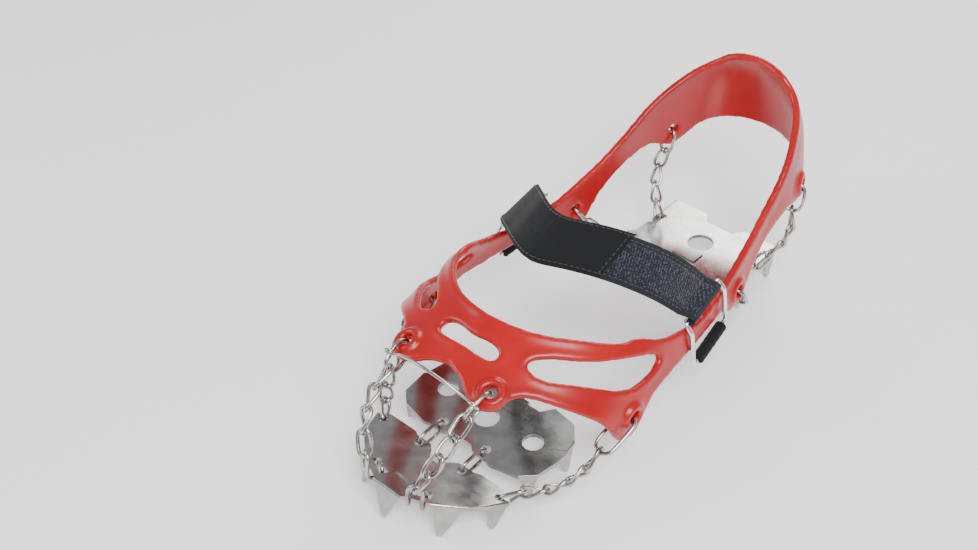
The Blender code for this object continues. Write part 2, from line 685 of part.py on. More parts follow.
def build_bail(top, joint, outwards):
    """One wire over the toe cap. Each end is an eye round the outer leg of a toe connector."""
    eye_axis = (joint - top).normalized()
    outwards = (outwards - eye_axis * outwards.dot(eye_axis)).normalized()
    eye = top.lerp(joint, 0.62) + outwards * CONNECTOR_HALF_WIDTH
    inward = Vector((-1, 0, 0))
    inward = (inward - eye_axis * inward.dot(eye_axis)).normalized()
    across = eye_axis.cross(inward)
    ring = []
    for step in range(10):
        angle = math.radians(35 + 290 * (9 - step) / 9)
        drift = eye_axis * (0.9 * MM * (9 - step) / 9)
        ring.append(eye + (inward * math.cos(angle) + across * math.sin(angle)) * BAIL_EYE_RADIUS + drift)
    crest = Vector((0, eye.y - 4 * MM, eye.z + 8.5 * MM))
    start = ring[-1]
    handle = Vector((start.x * 0.6, crest.y, crest.z))
    half = []
    for step in range(1, 9):
        f = step / 9
        half.append(start * (1 - f) ** 2 + handle * 2 * f * (1 - f) + crest * f**2)
    points = ring + half + [crest] + [mirrored(p) for p in reversed(half)] + [mirrored(p) for p in reversed(ring)]
    curve = wire_curve("toe_bail", [p - Vector((0, eye.y, eye.z)) for p in points], BAIL_WIRE, closed=False)
    add_object("toe_bail", curve, CHAIN_STEEL).location = (0, eye.y, eye.z)


def rail_frame(along, across):
    """A frame on the side rail: its origin, and its directions along the rail, down and outwards."""
    point, out = form_frame(along * MM, across)
    back = (form_point((along + 3) * MM, across) - form_point((along - 3) * MM, across)).normalized()
    return point, back, out.cross(back).normalized(), out


def build_buckles():
    """The rectangular wire frames round the side rails, each with its webbing roll on the lower bar."""
    half_width = 15.0 * MM
    rows = [(row[0], *rail_frame(STRAP_BUCKLE_AT, row[1])) for row in BUCKLE_ROWS]
    places = [point + out * lift * MM for lift, point, back, down, out in rows]
    upper, lower, back = places[0], places[-1] - Vector((0, 0, BUCKLE_DROP)), rows[0][2]
    places[-1] = lower
    loop = [p - back * half_width for p in places] + [p + back * half_width for p in reversed(places)]
    loop = soften(loop, 1.8 * MM)
    pivot = upper
    for label, flip in (("left", lambda v: v), ("right", mirrored)):
        curve = wire_curve(f"buckle_frame_{label}", [flip(p) - flip(pivot) for p in loop], BUCKLE_WIRE)
        add_object(f"buckle_frame_{label}", curve, BUCKLE_STEEL).location = flip(pivot)
        build_roll(f"webbing_roll_{label}", flip(lower), flip(back), half_width - 3.6 * MM, flip(pivot))
    return pivot


def soften(corners, radius):
    """A closed run of points with each corner cut by three points."""
    points = []
    for number, corner in enumerate(corners):
        before = (corners[number - 1] - corner).normalized() * radius
        after = (corners[(number + 1) % len(corners)] - corner).normalized() * radius
        start, end = corner + before, corner + after
        points += [start, (start + end + corner * 2) / 4, end]
    return points


def build_roll(name, centre, axis, half_length, pivot):
    """A sleeve turned round the buckle's lower bar."""
    profile = ((BUCKLE_WIRE + GAP, half_length), (ROLL_RADIUS, half_length), (ROLL_RADIUS, -half_length),
               (BUCKLE_WIRE + GAP, -half_length))
    made = bmesh.new()
    corners = [made.verts.new((r, 0, z)) for r, z in profile]
    for first, second in zip(corners, corners[1:] + corners[:1]):
        made.edges.new((first, second))
    bmesh.ops.spin(made, geom=made.verts[:] + made.edges[:], cent=(0, 0, 0), axis=(0, 0, 1),
                   angle=math.tau, steps=12, use_merge=True)
    bmesh.ops.remove_doubles(made, verts=made.verts, dist=0.01 * MM)
    bmesh.ops.recalc_face_normals(made, faces=made.faces)
    turn = Vector((0, 0, 1)).rotation_difference(axis).to_matrix().to_4x4()
    made.transform(Matrix.Translation(centre - pivot) @ turn)
    mesh = bpy.data.meshes.new(name)
    made.to_mesh(mesh)
    made.free()
    add_object(name, mesh, BLACK_WEBBING).location = pivot


def strap_along(across):
    """How far along the sole edge the strap's middle lies, at a share of the way across."""
    share = min(abs(across) / STRAP_BUCKLE_ACROSS, 1)
    return STRAP_RIDGE_AT + (STRAP_BUCKLE_AT - STRAP_RIDGE_AT) * share**1.4


def build_strap(name, first, last, steps, lift, half_width, thickness, material):
    """A band laid over the instep between two shares of the way across."""
    shape = bmesh.new()
    bmesh.ops.create_grid(shape, x_segments=steps, y_segments=2, size=0.5)
    raised = bmesh.ops.extrude_face_region(shape, geom=shape.faces[:])
    bmesh.ops.translate(shape, vec=(0, 0, 1),
                        verts=[v for v in raised["geom"] if isinstance(v, bmesh.types.BMVert)])
    for vertex in shape.verts:
        across = first + (last - first) * (vertex.co.x + 0.5)
        along = strap_along(across) + vertex.co.y * 2 * half_width
        vertex.co = lifted(along * MM, across, lift(across) + vertex.co.z * thickness)
    bmesh.ops.recalc_face_normals(shape, faces=shape.faces)
    mesh = bpy.data.meshes.new(name)
    shape.to_mesh(mesh)
    shape.free()
    return add_object(name, mesh, material)


def smooth_step(value, low, high):
    share = min(max((value - low) / (high - low), 0), 1)
    return share * share * (3 - 2 * share)


def strap_lift(across):
    """The strap lies on the instep and rises over the buckle's upper bar at its end."""
    return (0.6 + 4.6 * smooth_step(abs(across), 0.728, 0.775)) * MM


def build_straps(upper_bar):
    build_strap("strap_loop", -0.12, 0.812, 30, strap_lift, STRAP_HALF_WIDTH, STRAP_THICKNESS, LOOP_PILE)
    over_loop = STRAP_THICKNESS + 0.5 * MM
    hook = build_strap("strap_hook", -0.812, 0.33, 34,
                       lambda q: strap_lift(q) + over_loop * smooth_step(q, -0.32, -0.14),
                       STRAP_HALF_WIDTH + 0.5, STRAP_THICKNESS, BLACK_WEBBING)
    set_origin(hook, mirrored(upper_bar))


def finish_all():
    """Moves every object so that the harness and plates stand centred on the origin, and shades them."""
    for made in list(PARTS.objects) + list(CUTTERS.objects):
        made.location.y += ORIGIN_SHIFT_Y
    bpy.context.view_layer.update()


def main():
    harness = build_harness()
    toe_frame = plate_frame(TOE_PLATE_FRONT, TOE_PLATE_TILT)
    ball_frame = plate_frame(Vector((0, -84 * MM, BALL_PLATE_TOP)), 0)
    heel_frame = plate_frame(Vector((0, 77 * MM, HEEL_PLATE_TOP)), 0)
    toe_plate = build_toe_plate(toe_frame)
    ball_plate = build_ball_plate(ball_frame)
    heel_plate = build_heel_plate(heel_frame)
    build_pad(toe_plate, "toe_pad", toe_frame, 0, 16.0, 6.0, 6.0)
    build_pad(ball_plate, "ball_pad", ball_frame, 0, 34.0, 9.0, 5.0)
    build_pad(heel_plate, "heel_pad", heel_frame, 0, 11.0, 7.0, 4.0)

    toe_joint = connector_joint("toe")
    build_connector("toe", toe_joint)
    clip_joint = clip_point(toe_frame, 0, CLIP_PROFILE[-1][0] * MM, CLIP_PROFILE[-1][1] * MM - CROWN_OVERLAP)
    joints = arc_joints(toe_joint, clip_joint, Vector((0.6, -0.65, 0.45)), 4)
    build_chain("toe", joints, *chain_facings(joints, eyelet("toe")[1], Vector((0.44, -0.9, 0))))
    build_toe_clip(clip_joint, toe_frame)
    build_bail(eyelet_centre("toe"), toe_joint, eyelet("toe")[1])

    side_joint = connector_joint("side")
    side_end = strip_joint(toe_frame, SIDE_STRIP, SIDE_HEADING)
    build_connector("side", side_joint)
    joints = chain_joints(side_joint, side_end, SIDE_HEADING, Vector((0.8, 0.1, -0.6)), 5)
    build_chain("side", joints, *chain_facings(joints, eyelet("side")[1], -strip_side(SIDE_OUT, SIDE_HEADING)))

    heel_joint = connector_joint("heel")
    heel_end = strip_joint(heel_frame, HEEL_STRIP, HEEL_HEADING)
    build_connector("heel", heel_joint)
    joints = chain_joints(heel_joint, heel_end, HEEL_HEADING, Vector((0.8, 0.5, 0)), 4)
    build_chain("heel", joints, *chain_facings(joints, eyelet("heel")[1], Vector((1, 0, 0))))

    arch_joint = connector_joint("arch")
    arch_end = strip_joint(heel_frame, ARCH_STRIP, ARCH_HEADING)
    build_connector("arch", arch_joint)
    joints = arc_joints(arch_joint, arch_end, Vector((0.5, 0, -0.7)), 3)
    build_chain("arch", joints, *chain_facings(joints, eyelet("arch")[1], -strip_side(ARCH_OUT, ARCH_HEADING)))

    bridge_top = toe_frame @ (Vector((0, 32.3, -1.0)) * MM)
    bridge_bottom = ball_frame @ (Vector((0, 5.5, -1.0)) * MM)
    build_straight_links("bridge_link", BRIDGE_X * MM, bridge_top, bridge_bottom, Vector((0, 0.0, 1)))
    build_straps(build_buckles())
    finish_all()
    return harness


main()
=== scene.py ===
"""Shoe ice cleats: a red elastomer harness with wire chains, three spike plates and an instep strap.

Metres, +Z up, toe towards -Y, the wearer's left at +X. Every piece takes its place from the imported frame.
"""

import logging
import math
from dataclasses import dataclass, field
from enum import Enum
from typing import Callable, Dict, List, Optional, Sequence, Tuple

import bmesh
import bpy
import numpy as np
from mathutils import Matrix, Vector


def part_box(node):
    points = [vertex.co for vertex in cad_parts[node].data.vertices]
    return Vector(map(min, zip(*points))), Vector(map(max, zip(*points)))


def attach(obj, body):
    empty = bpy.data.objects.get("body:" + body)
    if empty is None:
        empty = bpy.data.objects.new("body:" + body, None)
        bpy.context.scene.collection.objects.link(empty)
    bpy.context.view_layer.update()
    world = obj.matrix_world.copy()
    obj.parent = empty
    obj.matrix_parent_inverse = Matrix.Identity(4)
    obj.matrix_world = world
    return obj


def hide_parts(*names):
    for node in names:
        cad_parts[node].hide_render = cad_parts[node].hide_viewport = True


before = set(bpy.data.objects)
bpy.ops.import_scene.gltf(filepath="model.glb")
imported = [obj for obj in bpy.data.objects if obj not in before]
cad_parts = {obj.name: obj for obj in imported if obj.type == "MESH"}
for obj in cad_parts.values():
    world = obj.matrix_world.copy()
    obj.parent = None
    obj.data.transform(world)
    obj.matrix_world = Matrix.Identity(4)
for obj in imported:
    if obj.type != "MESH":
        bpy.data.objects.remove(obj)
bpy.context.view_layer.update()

MM = 0.001
WELD = 0.01 * MM
LOG = logging.getLogger("shoe_ice_cleats")
Colour = Tuple[float, float, float]
Pair = Tuple[float, float]
Socket = bpy.types.NodeSocket
Material = bpy.types.Material
Shape = bmesh.types.BMesh
Piece = bpy.types.Object
Cut = Tuple[Piece, str]
Stitch = Tuple[Vector, Vector, Vector]
Height = Callable[[float], float]


class Side(Enum):
    """The two sides of the shoe, by the sign of x."""

    LEFT = 1
    RIGHT = -1

    @property
    def label(self) -> str:
        """The word that ends this side's node and piece names."""
        return self.name.lower()

    def flip(self, vector: Vector) -> Vector:
        """A left-hand vector carried to this side."""
        return Vector((self.value * vector.x, vector.y, vector.z))


# ---- finishes

class Recipe:
    """A new material whose nodes are added and joined one at a time."""

    def __init__(self, name: str) -> None:
        """Starts a material of that name."""
        self.material = bpy.data.materials.new(name)
        self.material.use_nodes = True
        self.tree = self.material.node_tree
        self.shader = self.tree.nodes["Principled BSDF"]

    def add(self, kind: str, **settings: object) -> bpy.types.Node:
        """Adds a node of a type, named without its ShaderNode prefix, and sets its properties."""
        node = self.tree.nodes.new("ShaderNode" + kind)
        for name, value in settings.items():
            setattr(node, name, value)
        return node

    def join(self, source: Socket, target: Socket) -> None:
        """Links one socket to another."""
        self.tree.links.new(source, target)

    def fix(self, **values: object) -> None:
        """Sets the shader's own sockets; underscores in the names stand for spaces."""
        for name, value in values.items():
            self.shader.inputs[name.replace("_", " ")].default_value = value

    def place(self, source: str, stretch: Sequence[float] = (1, 1, 1), turn: float = 0.0) -> Socket:
        """Object or UV coordinates, squeezed along each axis and turned about the third, in radians."""
        coordinates = self.add("TexCoord")
        mapping = self.add("Mapping")
        mapping.inputs["Scale"].default_value = stretch
        mapping.inputs["Rotation"].default_value = (0, 0, turn)
        self.join(coordinates.outputs[source], mapping.inputs["Vector"])
        return mapping.outputs["Vector"]

    def noise(self, at: Socket, scale: float, detail: float = 3.0) -> Socket:
        """A noise pattern's factor at those coordinates."""
        node = self.add("TexNoise")
        node.inputs["Scale"].default_value = scale
        node.inputs["Detail"].default_value = detail
        self.join(at, node.inputs["Vector"])
        return node.outputs["Fac"]

    def ribs(self, at: Socket, direction: str, period: float) -> Socket:
        """Even ribs across X or Y, that many units apart."""
        node = self.add("TexWave", wave_type="BANDS", bands_direction=direction, wave_profile="SIN")
        node.inputs["Scale"].default_value = math.tau / (20 * period)
        self.join(at, node.inputs["Vector"])
        return node.outputs["Fac"]

    def ramp(self, factor: Socket, stops: Sequence[Tuple[float, Colour]]) -> Socket:
        """A colour ramp read at a factor; each stop is a position and a colour."""
        node = self.add("ValToRGB")
        for number, (position, colour) in enumerate(stops):
            band = node.color_ramp.elements
            stop = band[number] if number < 2 else band.new(position)
            stop.position, stop.color = position, (*colour, 1)
        self.join(factor, node.inputs["Fac"])
        return node.outputs["Color"]

    def spread(self, factor: Socket, low: float, high: float) -> Socket:
        """A factor spread from low to high."""
        node = self.add("MapRange")
        node.inputs["To Min"].default_value = low
        node.inputs["To Max"].default_value = high
        self.join(factor, node.inputs["Value"])
        return node.outputs["Result"]

    def combine(self, operation: str, first: Socket, second: Socket) -> Socket:
        """Two factors through one arithmetic operation."""
        node = self.add("Math", operation=operation)
        self.join(first, node.inputs[0])
        self.join(second, node.inputs[1])
        return node.outputs[0]

    def bump(self, height: Socket, depth: float, strength: float) -> None:
        """Raises the surface by a height pattern that is that deep, in metres."""
        node = self.add("Bump")
        node.inputs["Distance"].default_value = depth
        node.inputs["Strength"].default_value = strength
        self.join(height, node.inputs["Height"])
        self.feed("Normal", node.outputs["Normal"])

    def feed(self, name: str, source: Socket) -> None:
        """Takes one of the shader's values from a socket."""
        self.join(source, self.shader.inputs[name])


@dataclass(frozen=True)
class ElastomerFinish:
    """Moulded elastomer: a deep colour under a soft shine, with the faint flow marks of the mould."""

    name: str = "red_elastomer"
    deep: Colour = (0.34, 0.0, 0.0008)
    bright: Colour = (0.46, 0.0006, 0.0015)

    def material(self) -> Material:
        """Makes the material."""
        recipe = Recipe(self.name)
        at = recipe.place("Object")
        flow = recipe.noise(at, 38, 4)
        grain = recipe.noise(at, 2100, 2)
        recipe.feed("Base Color", recipe.ramp(flow, [(0.3, self.deep), (0.72, self.bright)]))
        recipe.feed("Roughness", recipe.spread(recipe.noise(at, 160, 5), 0.24, 0.42))
        recipe.bump(recipe.combine("ADD", recipe.spread(flow, 0, 0.8), recipe.spread(grain, 0, 0.2)),
                    0.25 * MM, 0.22)
        recipe.fix(Coat_Weight=0.12, Coat_Roughness=0.2, Specular_IOR_Level=0.4)
        return recipe.material


@dataclass(frozen=True)
class SteelFinish:
    """Steel with drawing or rolling marks, small clouds of wear and a few darker spots."""

    name: str
    dull: Colour
    bright: Colour
    smooth: float
    rough: float
    marks: Tuple[float, float, float] = (1, 1, 1)
    mark_depth: float = 0.03 * MM

    def material(self) -> Material:
        """Makes the material."""
        recipe = Recipe(self.name)
        at = recipe.place("Object")
        along = recipe.place("Object", self.marks)
        wear = recipe.noise(at, 130, 6)
        lines = recipe.noise(along, 900, 3)
        recipe.feed("Base Color", recipe.ramp(wear, [(0.28, self.dull), (0.6, self.bright)]))
        shine = recipe.combine("MULTIPLY", wear, lines)
        recipe.feed("Roughness", recipe.spread(shine, self.smooth, self.rough))
        recipe.bump(lines, self.mark_depth, 0.35)
        recipe.fix(Metallic=1.0)
        return recipe.material


@dataclass(frozen=True)
class WebbingFinish:
    """Flat woven tape, with painted shade in the weave's hollows and a painted highlight on its yarn crowns.
    The piece's UV map is in millimetres, across and along the tape.
    """

    name: str
    # The dark colour is the tape in painted shade, the light colour the tape under a painted highlight.
    dark: Colour
    light: Colour
    rib: float = 0.62
    pick: float = 0.42
    twill: float = 0.42

    def material(self) -> Material:
        """Makes the material."""
        recipe = Recipe(self.name)
        flat = recipe.place("UV", turn=self.twill)
        warp = recipe.ribs(flat, "X", self.rib)
        weft = recipe.ribs(recipe.place("UV"), "Y", self.pick)
        weave = recipe.combine("MULTIPLY", warp, weft)
        fuzz = recipe.noise(recipe.place("Object"), 1700, 3)
        height = recipe.combine("ADD", weave, recipe.spread(fuzz, 0, 0.4))
        # The base colour follows the weave's height: painted shade in its hollows, a painted highlight on its
        # crowns, and the fuzz noise as random tone.
        recipe.feed("Base Color", recipe.ramp(height, [(0.12, self.dark), (0.95, self.light)]))
        recipe.feed("Roughness", recipe.spread(fuzz, 0.7, 0.95))
        recipe.bump(height, 0.16 * MM, 0.8)
        recipe.fix(Sheen_Weight=0.06, Sheen_Roughness=0.4, Specular_IOR_Level=0.22)
        return recipe.material


@dataclass(frozen=True)
class PileFinish:
    """Loop pile: a mat of small thread loops, with a painted highlight on their crowns and painted shade in
    the gaps between them.
    """

    name: str = "loop_pile"
    # The gap colour is painted shade between the loops, the thread colour their own tone and the crown colour
    # a painted highlight on their tops.
    gap: Colour = (0.003, 0.0035, 0.005)
    thread: Colour = (0.014, 0.016, 0.022)
    crown: Colour = (0.062, 0.070, 0.092)

    def material(self) -> Material:
        """Makes the material."""
        recipe = Recipe(self.name)
        at = recipe.place("Object")
        loops = recipe.add("TexVoronoi", feature="F1")
        loops.inputs["Scale"].default_value = 1250
        recipe.join(at, loops.inputs["Vector"])
        rows = recipe.ribs(recipe.place("UV", turn=0.35), "Y", 1.15)
        tangle = recipe.combine("MULTIPLY", loops.outputs["Distance"], recipe.spread(rows, 0.72, 1.15))
        loop_relief = recipe.combine("MULTIPLY", tangle, recipe.spread(recipe.noise(at, 2600, 3), 0.7, 1.5))
        stops = [(0.16, self.gap), (0.92, self.crown), (0.5, self.thread)]
        # The base colour follows the loops' relief: painted shade low in the gaps and a painted highlight on
        # the crowns.
        recipe.feed("Base Color", recipe.ramp(loop_relief, stops))
        recipe.feed("Roughness", recipe.spread(loop_relief, 0.8, 0.98))
        recipe.bump(loop_relief, 0.5 * MM, 0.9)
        recipe.fix(Sheen_Weight=0.12, Sheen_Roughness=0.5, Specular_IOR_Level=0.2)
        return recipe.material


@dataclass(frozen=True)
class ThreadFinish:
    """Twisted sewing thread, with painted shade in the grooves of its twist and a painted highlight on its
    ridges.
    """

    name: str
    dark: Colour
    light: Colour

    def material(self) -> Material:
        """Makes the material."""
        recipe = Recipe(self.name)
        twist = recipe.ribs(recipe.place("Object", turn=0.7), "X", 0.35 * MM)
        # The base colour follows the twist: the dark colour is painted shade in its grooves, the light colour
        # a painted highlight on its ridges.
        recipe.feed("Base Color", recipe.ramp(twist, [(0.2, self.dark), (0.8, self.light)]))
        recipe.bump(twist, 0.06 * MM, 0.6)
        recipe.fix(Roughness=0.75, Sheen_Weight=0.3)
        return recipe.material


class Finishes:
    """The finishes of all pieces, each made once."""

    def __init__(self) -> None:
        """Makes the materials."""
        self.elastomer = ElastomerFinish().material()
        self.chain = SteelFinish("chain_steel", (0.24, 0.22, 0.20), (0.52, 0.49, 0.455), 0.14, 0.40,
                                 (1, 1, 0.3)).material()
        self.plate = SteelFinish("plate_steel", (0.30, 0.295, 0.285), (0.42, 0.412, 0.40), 0.13, 0.34,
                                 (0.08, 1, 1), 0.02 * MM).material()
        self.buckle = SteelFinish("buckle_steel", (0.62, 0.61, 0.60), (0.86, 0.85, 0.84), 0.08, 0.26
                                  ).material()
        self.webbing = WebbingFinish("black_webbing", (0.002, 0.002, 0.0025), (0.016, 0.0165, 0.018)
                                     ).material()
        self.selvage = WebbingFinish("selvage_webbing", (0.005, 0.006, 0.009), (0.030, 0.034, 0.044), 0.8,
                                     0.5, 0.0).material()
        self.pile = PileFinish().material()
        self.black_thread = ThreadFinish("black_thread", (0.002, 0.002, 0.0025), (0.012, 0.0125, 0.014)
                                         ).material()
        self.grey_thread = ThreadFinish("grey_thread", (0.006, 0.007, 0.010), (0.040, 0.044, 0.056)
                                        ).material()


# ---- small tools

def placed(name: str, mesh: bpy.types.Mesh) -> Piece:
    """A new object of that mesh, at the origin of the scene."""
    made = bpy.data.objects.new(name, mesh)
    bpy.context.scene.collection.objects.link(made)
    return made


def new_piece(name: str, shape: Shape, finish: Optional[Material] = None) -> Piece:
    """Turns a shape, which is freed, into a named piece; a helper that is used up has no finish."""
    mesh = bpy.data.meshes.new(name)
    shape.to_mesh(mesh)
    shape.free()
    if finish:
        mesh.materials.append(finish)
    return placed(name, mesh)


def thicken(shape: Shape, height: float) -> None:
    """Makes a closed solid of a flat shape by raising a copy of it that high."""
    raised = bmesh.ops.extrude_face_region(shape, geom=shape.faces[:])
    bmesh.ops.translate(shape, vec=(0, 0, height),
                        verts=[v for v in raised["geom"] if isinstance(v, bmesh.types.BMVert)])


def applied(source: Piece) -> bpy.types.Mesh:
    """The evaluated mesh of an object, with the source removed."""
    graph = bpy.context.evaluated_depsgraph_get()
    mesh = bpy.data.meshes.new_from_object(source.evaluated_get(graph))
    mesh.name = source.name
    bpy.data.objects.remove(source)
    return mesh


def smooth(made: Piece, sharp_over: float = 180.0) -> Piece:
    """Shades a piece smooth, but for edges that turn by more than an angle in degrees."""
    made.data.polygons.foreach_set("use_smooth", [True] * len(made.data.polygons))
    if sharp_over < 180:
        made.data.set_sharp_from_angle(angle=math.radians(sharp_over))
    return made


def node_shape(node: str) -> Shape:
    """A welded copy of a frame node's shape."""
    shape = bmesh.new()
    shape.from_mesh(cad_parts[node].data)
    bmesh.ops.remove_doubles(shape, verts=shape.verts, dist=0.02 * MM)
    return shape


def smooth_step(value: float, low: float, high: float) -> float:
    """0 below low, 1 above high, and an even S between them."""
    share = min(max((value - low) / (high - low), 0), 1)
    return share * share * (3 - 2 * share)


# ---- the shoe form

@dataclass
class ShoeForm:
    """The shoe shape that the harness and strap are stretched round.

    The sole edge runs from the toe tip to the middle of the heel, as (x, y) in millimetres, and each of its
    points has a point (y, z) of the ridge above it. A superellipse joins the two.
    """

    sole_edge: Sequence[Pair] = ((0, -127), (24, -121), (44, -98), (55, -64), (58, -32), (55, 4), (50, 40),
                                 (44, 80), (40, 112), (27, 139), (0, 149))
    ridge: Sequence[Pair] = ((-104, 43), (-98, 49), (-86, 57), (-66, 66), (-44, 77), (-14, 92), (18, 106),
                             (52, 114), (84, 116), (96, 116), (100, 116))
    sole_z: float = 34 * MM
    section_at: Sequence[float] = (0, 40, 90, 150, 200, 240, 326)
    section_exponent: Sequence[float] = (2.2, 2.1, 1.9, 1.8, 2.0, 2.8, 3.2)
    across_length: float = 100 * MM
    centre_shift: float = -11.36 * MM
    edge: np.ndarray = field(init=False)
    top: np.ndarray = field(init=False)
    at: np.ndarray = field(init=False)
    length: float = field(init=False)

    def __post_init__(self) -> None:
        """Draws the two guiding curves."""
        self.edge = self.curve(np.array(self.sole_edge) * MM, lambda p, end: np.array([-p[0], p[1]]))
        self.top = self.curve(np.array(self.ridge) * MM, lambda p, end: 2 * end - p)
        steps = np.linalg.norm(np.diff(self.edge, axis=0), axis=1)
        self.at = np.concatenate([[0], np.cumsum(steps)])
        self.length = float(self.at[-1])

    @staticmethod
    def curve(points: np.ndarray, reflect: Callable[[np.ndarray, np.ndarray], np.ndarray],
              samples: int = 60) -> np.ndarray:
        """Samples of a Catmull-Rom curve through the points, one a row.

        Beyond each end it takes a further point, which reflect gives from that end's neighbour and the end.
        """
        ends = np.vstack([reflect(points[1], points[0]), points, reflect(points[-2], points[-1])])
        spans = []
        for first in range(len(points) - 1):
            a, b, c, d = ends[first:first + 4]
            f = np.linspace(0, 1, samples, endpoint=False)[:, None]
            spans.append(0.5 * (2 * b + (c - a) * f + (2 * a - 5 * b + 4 * c - d) * f**2
                                + (3 * b - a - 3 * c + d) * f**3))
        return np.vstack(spans + [points[-1:]])

    def point(self, along: float, across: float) -> Vector:
        """A point of the surface.

        Args:
            along: Metres along the sole edge from the toe tip; past the heel it goes on up the far side.
            across: From the ridge (0) to the sole edge (1); a negative share lies on the far side.
        """
        folded = min(along, 2 * self.length - along)
        side = 1 if along <= self.length else -1
        edge_x = side * np.interp(folded, self.at, self.edge[:, 0])
        edge_y = np.interp(folded, self.at, self.edge[:, 1])
        ridge_y = np.interp(folded, self.at, self.top[:, 0])
        ridge_z = np.interp(folded, self.at, self.top[:, 1])
        power = 2 / np.interp(folded / MM, self.section_at, self.section_exponent)
        angle = min(abs(across), 1) * math.pi / 2
        out = math.sin(angle) ** power
        up = math.cos(angle) ** power if angle < math.pi / 2 - 1e-6 else 0
        below = max(abs(across) - 1, 0) * self.across_length
        return Vector((math.copysign(1, across) * edge_x * out,
                       ridge_y + (edge_y - ridge_y) * out + self.centre_shift,
                       self.sole_z + (ridge_z - self.sole_z) * up - below))

    def place(self, along: float, across: float) -> Tuple[Vector, Vector]:
        """A point of the surface and its outward direction."""
        step = 0.8 * MM
        share = step / self.across_length
        lengthwise = self.point(along + step, across) - self.point(along - step, across)
        crosswise = self.point(along, across + share) - self.point(along, across - share)
        return self.point(along, across), crosswise.cross(lengthwise).normalized()

    def lifted(self, along: float, across: float, height: float) -> Vector:
        """A point at a height above the surface."""
        point, out = self.place(along, across)
        return point + out * height


# ---- harness

